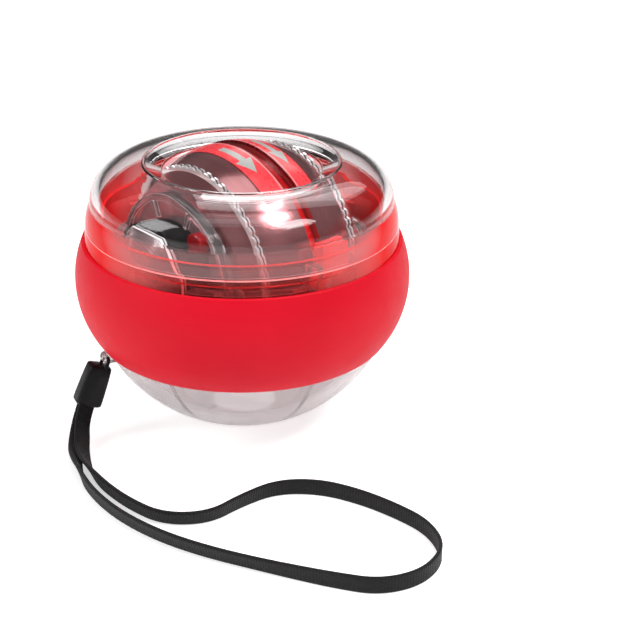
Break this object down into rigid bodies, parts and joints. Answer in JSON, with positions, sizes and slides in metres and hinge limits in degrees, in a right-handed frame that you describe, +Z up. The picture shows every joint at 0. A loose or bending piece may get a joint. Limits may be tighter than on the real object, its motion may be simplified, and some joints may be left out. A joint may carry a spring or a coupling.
{
  "type": "gyroscopic wrist ball",
  "caption": "Hand exercise ball with a spinning weighted rotor in a turning ring, clear shell, red grip band, spring starter and wrist strap.",
  "frame": {"origin": "middle of the flat foot under the ball", "axes": "+Z up through the middle of the opening, the strap lies towards -Y"},
  "size_m": [0.0774, 0.109, 0.062],
  "materials": {
    "clear_lower": "clear polycarbonate, polished",
    "clear_upper": "clear polycarbonate, polished",
    "silicone": "soft satin silicone",
    "race_red": "red moulded plastic",
    "race_clear_red": "translucent red moulded plastic",
    "ring_clear": "clear moulded plastic",
    "guide_red": "red moulded plastic",
    "roller_steel": "polished steel",
    "bush_brass": "turned brass",
    "barrel_black": "black moulded plastic",
    "cover_clear": "clear faceted plastic",
    "screw_steel": "plated steel",
    "spring_steel": "blued spring steel",
    "arbor_steel": "turned steel",
    "ratchet_steel": "stamped steel",
    "pawl_steel": "stamped steel",
    "pin_steel": "ground steel",
    "rotor_rose": "tinted translucent plastic",
    "groove_red": "dark red moulded plastic",
    "label_red": "red printed film",
    "weight_zinc": "cast zinc",
    "thumb_clear": "clear ribbed plastic",
    "axle_steel": "ground steel",
    "cord_nylon": "black nylon cord",
    "clip_black": "black moulded plastic",
    "strap_black": "woven black webbing"
  },
  "bodies": {
    "shell": {"lower_shell": "clear_lower", "upper_shell": "clear_upper", "grip_band": "silicone", "race_lower": "race_red", "race_upper": "race_clear_red", "strap_cord": "cord_nylon", "strap_clip": "clip_black", "wrist_strap": "strap_black"},
    "gimbal": {"gimbal_ring": "ring_clear", "guide_boss_front": "guide_red", "guide_boss_rear": "guide_red", "bush_left": "bush_brass", "bush_right": "bush_brass", "spring_barrel": "barrel_black", "spring_cover": "cover_clear", "starter_screws": "screw_steel", "mainspring": "spring_steel"},
    "guide_roller_front": {"guide_roller_front": "roller_steel"},
    "guide_roller_rear": {"guide_roller_rear": "roller_steel"},
    "starter": {"spring_arbor": "arbor_steel", "ratchet_wheel": "ratchet_steel"},
    "rotor": {"rotor_half_left": "rotor_rose", "rotor_half_right": "rotor_rose", "groove_disc": "groove_red", "label_band_left": "label_red", "label_band_right": "label_red", "weight_ring_left": "weight_zinc", "weight_ring_right": "weight_zinc", "thumb_ring_left": "thumb_clear", "thumb_ring_right": "thumb_clear", "rotor_screws": "screw_steel", "axle": "axle_steel", "pawl_pins": "pin_steel"},
    "pawl_upper": {"pawl_upper": "pawl_steel"},
    "pawl_lower": {"pawl_lower": "pawl_steel"}
  },
  "joints": [
    {"name": "gimbal_spin", "type": "hinge", "parent": "shell", "child": "gimbal", "pos_m": [0, 0, 0.03709], "axis": [0, 0, 1], "continuous": true},
    {"name": "rotor_spin", "type": "hinge", "parent": "gimbal", "child": "rotor", "pos_m": [0, 0, 0.03709], "axis": [-0.7314, -0.682, 0], "continuous": true},
    {"name": "guide_roller_front_spin", "type": "hinge", "parent": "gimbal", "child": "guide_roller_front", "pos_m": [0.02053, -0.02201, 0.03954], "axis": [0.682, -0.7314, 0], "continuous": true},
    {"name": "guide_roller_rear_spin", "type": "hinge", "parent": "gimbal", "child": "guide_roller_rear", "pos_m": [-0.02053, 0.02201, 0.03954], "axis": [-0.682, 0.7314, 0], "continuous": true},
    {"name": "starter_wind", "type": "hinge", "parent": "gimbal", "child": "starter", "pos_m": [0, 0, 0.03709], "axis": [-0.7314, -0.682, 0], "range_deg": [-540, 0], "stiffness_Nm_per_rad": 0.002},
    {"name": "pawl_upper_lift", "type": "hinge", "parent": "rotor", "child": "pawl_upper", "pos_m": [-0.00973, -0.00907, 0.04569], "axis": [-0.7314, -0.682, 0], "range_deg": [-12, 0], "stiffness_Nm_per_rad": 0.0002},
    {"name": "pawl_lower_lift", "type": "hinge", "parent": "rotor", "child": "pawl_lower", "pos_m": [-0.00973, -0.00907, 0.02849], "axis": [-0.7314, -0.682, 0], "range_deg": [-12, 0], "stiffness_Nm_per_rad": 0.0002}
  ],
  "couplings": [
    {"joint": "guide_roller_front_spin", "follows": "gimbal_spin", "ratio": -8.6},
    {"joint": "guide_roller_rear_spin", "follows": "gimbal_spin", "ratio": -8.6}
  ]
}
